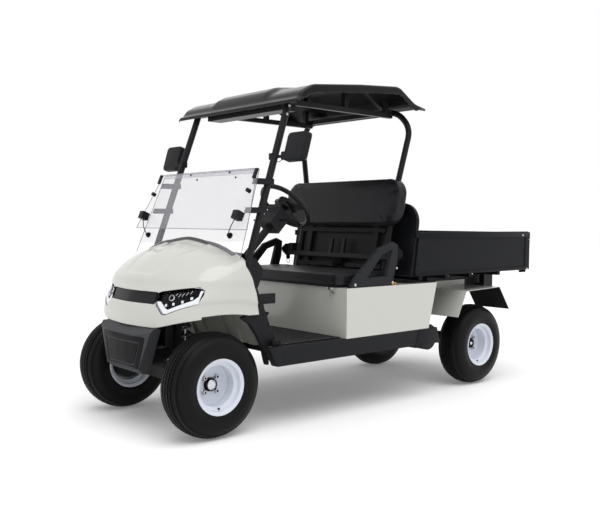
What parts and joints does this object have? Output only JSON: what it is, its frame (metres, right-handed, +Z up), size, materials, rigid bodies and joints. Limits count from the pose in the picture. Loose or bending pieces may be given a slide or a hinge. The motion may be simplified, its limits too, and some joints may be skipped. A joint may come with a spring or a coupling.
{
  "type": "utility golf cart",
  "caption": "Electric utility golf cart with a bench seat, roof, folding windscreen, steered front wheels and a tipping cargo bed with a drop tailgate.",
  "frame": {"origin": "on the floor, under the middle of the cart's overall length and width", "axes": "+X towards the cart's front, +Y to its left, +Z up"},
  "size_m": [2.91, 1.336, 1.882],
  "materials": {
    "tyre": "matte",
    "rim": "gloss",
    "hub": "satin",
    "steel_black": "satin",
    "body_cream": "gloss",
    "trim_black": "matte",
    "vinyl_black": "satin",
    "roof_black": "gloss",
    "pane": "gloss",
    "lamp": "gloss",
    "mat": "matte",
    "battery": "matte",
    "bed_black": "satin"
  },
  "bodies": {
    "chassis": {"frame": "steel_black", "front_axle": "steel_black", "front_springs": "steel_black", "rear_axle": "hub", "rear_springs": "steel_black", "floor_pan": "mat", "sills": "trim_black", "side_panels": "trim_black", "seat_box": "body_cream", "battery_pack": "battery", "hip_restraints": "trim_black", "seat_back_frame": "steel_black", "belt_bar": "steel_black", "backrest_cushion": "vinyl_black", "rear_roof_hoop": "steel_black", "front_struts": "steel_black", "roof": "roof_black", "roof_bearers": "steel_black", "front_cowl": "body_cream", "grille": "trim_black", "headlamps": "lamp", "front_bumper": "trim_black", "dashboard": "trim_black", "steering_column": "trim_black", "pedals": "steel_black", "windscreen_lower": "pane", "windscreen_upper": "pane", "windscreen_fittings": "trim_black", "mirrors": "trim_black", "rear_fenders": "body_cream", "bed_pads": "mat"},
    "left_knuckle": {"left_knuckle": "steel_black"},
    "right_knuckle": {"right_knuckle": "steel_black"},
    "tie_rod": {"tie_rod": "steel_black"},
    "steering_wheel": {"steering_wheel": "trim_black"},
    "seat": {"seat_board": "trim_black", "seat_cushion": "vinyl_black"},
    "cargo_bed": {"bed_floor": "bed_black", "bed_sides": "bed_black", "headboard": "steel_black", "headboard_panel": "bed_black"},
    "tailgate": {"tailgate": "bed_black"},
    "front_left_wheel": {"front_left_tyre": "tyre", "front_left_rim": "rim", "front_left_hub": "hub"},
    "front_right_wheel": {"front_right_tyre": "tyre", "front_right_rim": "rim", "front_right_hub": "hub"},
    "rear_left_wheel": {"rear_left_tyre": "tyre", "rear_left_rim": "rim", "rear_left_hub": "hub"},
    "rear_right_wheel": {"rear_right_tyre": "tyre", "rear_right_rim": "rim", "rear_right_hub": "hub"}
  },
  "joints": [
    {"name": "left_steer", "type": "hinge", "parent": "chassis", "child": "left_knuckle", "pos_m": [1.192, 0.35, 0.264], "axis": [0, 0, 1], "range_deg": [-28, 28]},
    {"name": "right_steer", "type": "hinge", "parent": "chassis", "child": "right_knuckle", "pos_m": [1.192, -0.35, 0.264], "axis": [0, 0, 1], "range_deg": [-28, 28]},
    {"name": "tie_rod_pivot", "type": "hinge", "parent": "left_knuckle", "child": "tie_rod", "pos_m": [1.102, 0.35, 0.264], "axis": [0, 0, 1], "range_deg": [-28, 28]},
    {"name": "steering_wheel_turn", "type": "hinge", "parent": "chassis", "child": "steering_wheel", "pos_m": [0.56, 0.25, 1.16], "axis": [-0.7071, 0, 0.7071], "range_deg": [-336, 336]},
    {"name": "front_left_spin", "type": "hinge", "parent": "left_knuckle", "child": "front_left_wheel", "pos_m": [1.192, 0.4325, 0.264], "axis": [0, 1, 0], "continuous": true},
    {"name": "rear_left_spin", "type": "hinge", "parent": "chassis", "child": "rear_left_wheel", "pos_m": [-0.928, 0.4325, 0.264], "axis": [0, 1, 0], "continuous": true},
    {"name": "front_right_spin", "type": "hinge", "parent": "right_knuckle", "child": "front_right_wheel", "pos_m": [1.192, -0.4325, 0.264], "axis": [0, 1, 0], "continuous": true},
    {"name": "rear_right_spin", "type": "hinge", "parent": "chassis", "child": "rear_right_wheel", "pos_m": [-0.928, -0.4325, 0.264], "axis": [0, 1, 0], "continuous": true},
    {"name": "seat_lift", "type": "hinge", "parent": "chassis", "child": "seat", "pos_m": [0.371, 0, 0.7], "axis": [0, 1, 0], "range_deg": [0, 80]},
    {"name": "bed_tip", "type": "hinge", "parent": "chassis", "child": "cargo_bed", "pos_m": [-1.25, 0, 0.728], "axis": [0, -1, 0], "range_deg": [0, 45]},
    {"name": "tailgate_drop", "type": "hinge", "parent": "cargo_bed", "child": "tailgate", "pos_m": [-1.436, 0, 0.738], "axis": [0, -1, 0], "range_deg": [0, 90]}
  ],
  "couplings": [
    {"joint": "right_steer", "follows": "left_steer", "ratio": 1},
    {"joint": "tie_rod_pivot", "follows": "left_steer", "ratio": -1},
    {"joint": "steering_wheel_turn", "follows": "left_steer", "ratio": 12}
  ]
}
